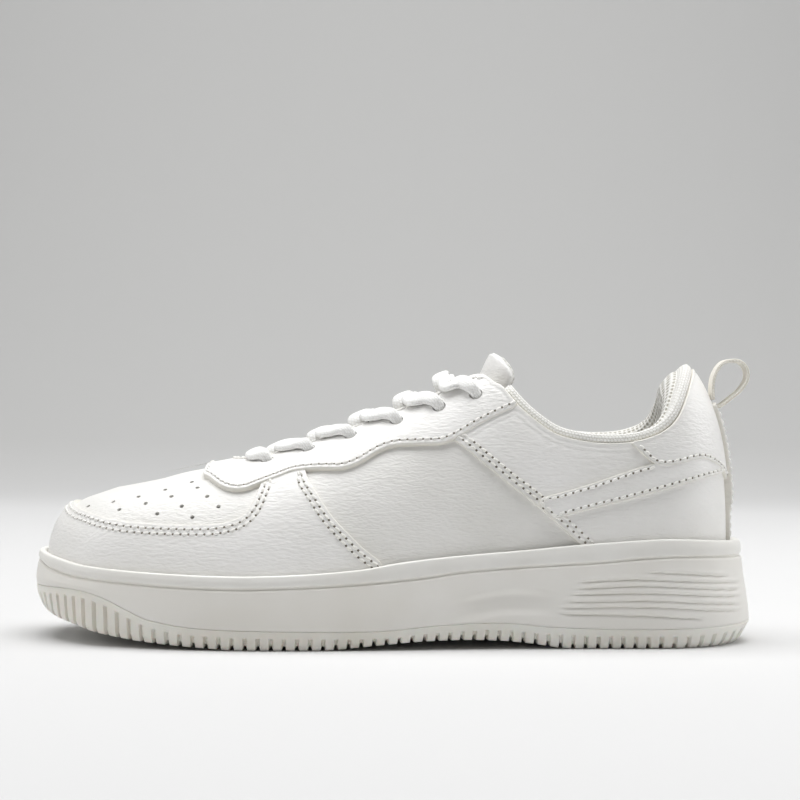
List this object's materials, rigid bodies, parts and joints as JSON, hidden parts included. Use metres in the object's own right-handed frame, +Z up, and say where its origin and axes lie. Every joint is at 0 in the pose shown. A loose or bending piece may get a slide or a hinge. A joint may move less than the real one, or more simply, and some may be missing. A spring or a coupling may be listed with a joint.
{
  "type": "cheer shoe",
  "caption": "Low white cheer shoe for the left foot: panelled upper with laced throat, padded mesh collar, heel pull loop and thick cup sole.",
  "frame": {"origin": "middle of the whole shoe's outline seen from above, on the floor under the tread", "axes": "-X towards the toe, +X towards the heel, -Y the outer (lateral) side of the left foot, +Z up"},
  "size_m": [0.291, 0.1062, 0.1156],
  "materials": {
    "vamp": "pebbled, punched with holes",
    "toe_mudguard": "pebbled",
    "quarter_lateral": "pebbled",
    "quarter_medial": "pebbled",
    "rear_panel_lateral": "pebbled",
    "rear_panel_medial": "pebbled",
    "side_band_lateral": "pebbled",
    "side_band_medial": "pebbled",
    "heel_tab": "pebbled",
    "backstay": "pebbled",
    "eyestay": "pebbled",
    "eyestay_backing_lateral": "stiff woven",
    "eyestay_backing_medial": "stiff woven",
    "toe_puff": "moulded sheet",
    "heel_counter": "moulded sheet",
    "vamp_lining": "knitted",
    "quarter_lining": "knitted",
    "collar_foam": "soft foam",
    "collar_lining": "air mesh",
    "midsole": "matt",
    "outsole": "matt",
    "sole_insert": "closed-cell foam",
    "strobel_board": "felt board",
    "insole": "open-cell foam",
    "insole_cover": "brushed cloth",
    "tongue_cover": "pebbled",
    "tongue_foam": "soft foam",
    "tongue_lining": "air mesh",
    "tongue_label": "blank woven label",
    "lace": "flat woven lace",
    "aglet_1": "clear-white film",
    "aglet_2": "clear-white film",
    "pull_loop": "woven webbing"
  },
  "bodies": {
    "shoe": {"vamp": "vamp", "toe_mudguard": "toe_mudguard", "quarter_lateral": "quarter_lateral", "quarter_medial": "quarter_medial", "rear_panel_lateral": "rear_panel_lateral", "rear_panel_medial": "rear_panel_medial", "side_band_lateral": "side_band_lateral", "side_band_medial": "side_band_medial", "heel_tab": "heel_tab", "backstay": "backstay", "eyestay": "eyestay", "eyestay_backing_lateral": "eyestay_backing_lateral", "eyestay_backing_medial": "eyestay_backing_medial", "toe_puff": "toe_puff", "heel_counter": "heel_counter", "vamp_lining": "vamp_lining", "quarter_lining": "quarter_lining", "collar_foam": "collar_foam", "collar_lining": "collar_lining", "midsole": "midsole", "outsole": "outsole", "sole_insert": "sole_insert", "strobel_board": "strobel_board", "insole": "insole", "insole_cover": "insole_cover", "lace": "lace", "aglet_1": "aglet_1", "aglet_2": "aglet_2"},
    "tongue": {"tongue_cover": "tongue_cover", "tongue_foam": "tongue_foam", "tongue_lining": "tongue_lining", "tongue_label": "tongue_label"},
    "loop": {"pull_loop": "pull_loop"}
  },
  "joints": [
    {"name": "tongue_bend", "type": "hinge", "parent": "shoe", "child": "tongue", "pos_m": [-0.064, 0, 0.0595], "axis": [0, 1, 0], "range_deg": [0, 12], "stiffness_Nm_per_rad": 0.6},
    {"name": "loop_swing", "type": "hinge", "parent": "shoe", "child": "loop", "pos_m": [0.132, 0, 0.0948], "axis": [0, 1, 0], "range_deg": [0, 60], "stiffness_Nm_per_rad": 0.02}
  ]
}
